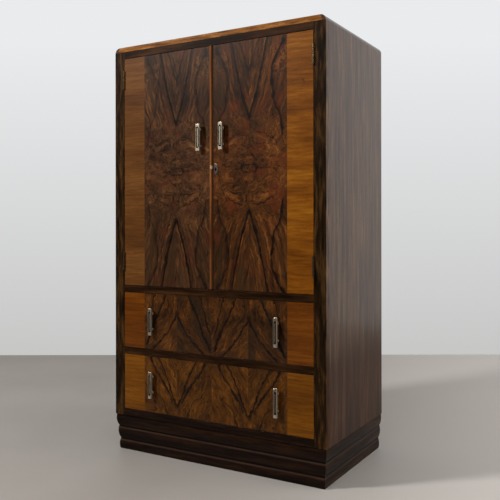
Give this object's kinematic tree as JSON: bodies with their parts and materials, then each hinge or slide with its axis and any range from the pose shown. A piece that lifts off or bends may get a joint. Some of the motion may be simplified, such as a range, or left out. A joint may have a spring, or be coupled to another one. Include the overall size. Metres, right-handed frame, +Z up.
{
  "type": "tallboy",
  "caption": "Free-standing walnut-veneered tallboy with hinged cupboard doors over sliding drawers, bar handles and a ribbed plinth, for clothes and linen.",
  "frame": {"origin": "on the floor, under the middle of the whole object's box", "axes": "+X to the right seen from the front, +Y into the cabinet, +Z up"},
  "size_m": [0.762, 0.457, 1.325],
  "materials": {
    "walnut_dark": "dark stained walnut, satin polish",
    "plinth_dark": "near-black stained wood, satin polish",
    "walnut_light": "light walnut, satin polish",
    "walnut_burr": "figured walnut veneer, polished",
    "walnut_crossband": "straight-grained walnut veneer, polished",
    "door_core": "mahogany, thin polish",
    "inner_wood": "bare oak-coloured wood",
    "plywood": "bare plywood",
    "handle_chrome": "worn chrome plate",
    "brass": "dull aged brass"
  },
  "bodies": {
    "carcass": {"back_panel": "plywood", "bottom_board": "plywood", "bottom_rail": "walnut_dark", "cupboard_floor": "inner_wood", "door_stop": "inner_wood", "drawer_guides": "inner_wood", "drawer_rail": "walnut_dark", "drawer_runners": "inner_wood", "drawer_stops": "inner_wood", "dust_board": "plywood", "frame_hinge_leaves": "brass", "frame_hinge_screws": "brass", "hinge_pins": "brass", "left_side_panel": "walnut_dark", "left_stile": "walnut_dark", "mid_rail": "walnut_dark", "plinth_back": "plinth_dark", "plinth_front": "plinth_dark", "plinth_left": "plinth_dark", "plinth_right": "plinth_dark", "right_side_panel": "walnut_dark", "right_stile": "walnut_dark", "shelf_bearers": "inner_wood", "shelf_lower": "inner_wood", "shelf_upper": "inner_wood", "top_board": "walnut_dark", "top_front_strip": "walnut_light", "top_rail": "walnut_dark"},
    "left_door": {"left_door_core": "door_core", "left_door_burr_veneer": "walnut_burr", "left_door_crossband": "walnut_crossband", "meeting_bead": "walnut_light", "left_door_hinge_leaves": "brass", "left_door_hinge_screws": "brass", "left_door_handle": "handle_chrome", "left_door_bolt_case": "brass"},
    "right_door": {"right_door_core": "door_core", "right_door_burr_veneer": "walnut_burr", "right_door_crossband": "walnut_crossband", "right_door_hinge_leaves": "brass", "right_door_hinge_screws": "brass", "right_door_handle": "handle_chrome", "escutcheon": "brass", "lock_case": "brass"},
    "upper_drawer": {"upper_drawer_back": "inner_wood", "upper_drawer_bottom": "plywood", "upper_drawer_burr_veneer": "walnut_burr", "upper_drawer_crossbands": "walnut_crossband", "upper_drawer_front": "door_core", "upper_drawer_handles": "handle_chrome", "upper_drawer_sides": "inner_wood"},
    "lower_drawer": {"lower_drawer_back": "inner_wood", "lower_drawer_bottom": "plywood", "lower_drawer_burr_veneer": "walnut_burr", "lower_drawer_crossbands": "walnut_crossband", "lower_drawer_front": "door_core", "lower_drawer_handles": "handle_chrome", "lower_drawer_sides": "inner_wood"},
    "lock_bolt": {"lock_bolt": "brass"},
    "left_door_bolt": {"left_door_bolt": "brass"}
  },
  "joints": [
    {"name": "left_door_hinge", "type": "hinge", "parent": "carcass", "child": "left_door", "pos_m": [-0.34225, -0.215, 0.9135], "axis": [0, 0, -1], "range_deg": [0, 170]},
    {"name": "right_door_hinge", "type": "hinge", "parent": "carcass", "child": "right_door", "pos_m": [0.34225, -0.215, 0.9135], "axis": [0, 0, 1], "range_deg": [0, 170]},
    {"name": "upper_drawer_slide", "type": "slide", "parent": "carcass", "child": "upper_drawer", "axis": [0, -1, 0], "range_m": [0, 0.3]},
    {"name": "lower_drawer_slide", "type": "slide", "parent": "carcass", "child": "lower_drawer", "axis": [0, -1, 0], "range_m": [0, 0.3]},
    {"name": "lock_bolt_slide", "type": "slide", "parent": "right_door", "child": "lock_bolt", "axis": [-1, 0, 0], "range_m": [0, 0.009]},
    {"name": "left_door_bolt_slide", "type": "slide", "parent": "left_door", "child": "left_door_bolt", "axis": [0, 0, 1], "range_m": [0, 0.012]}
  ]
}
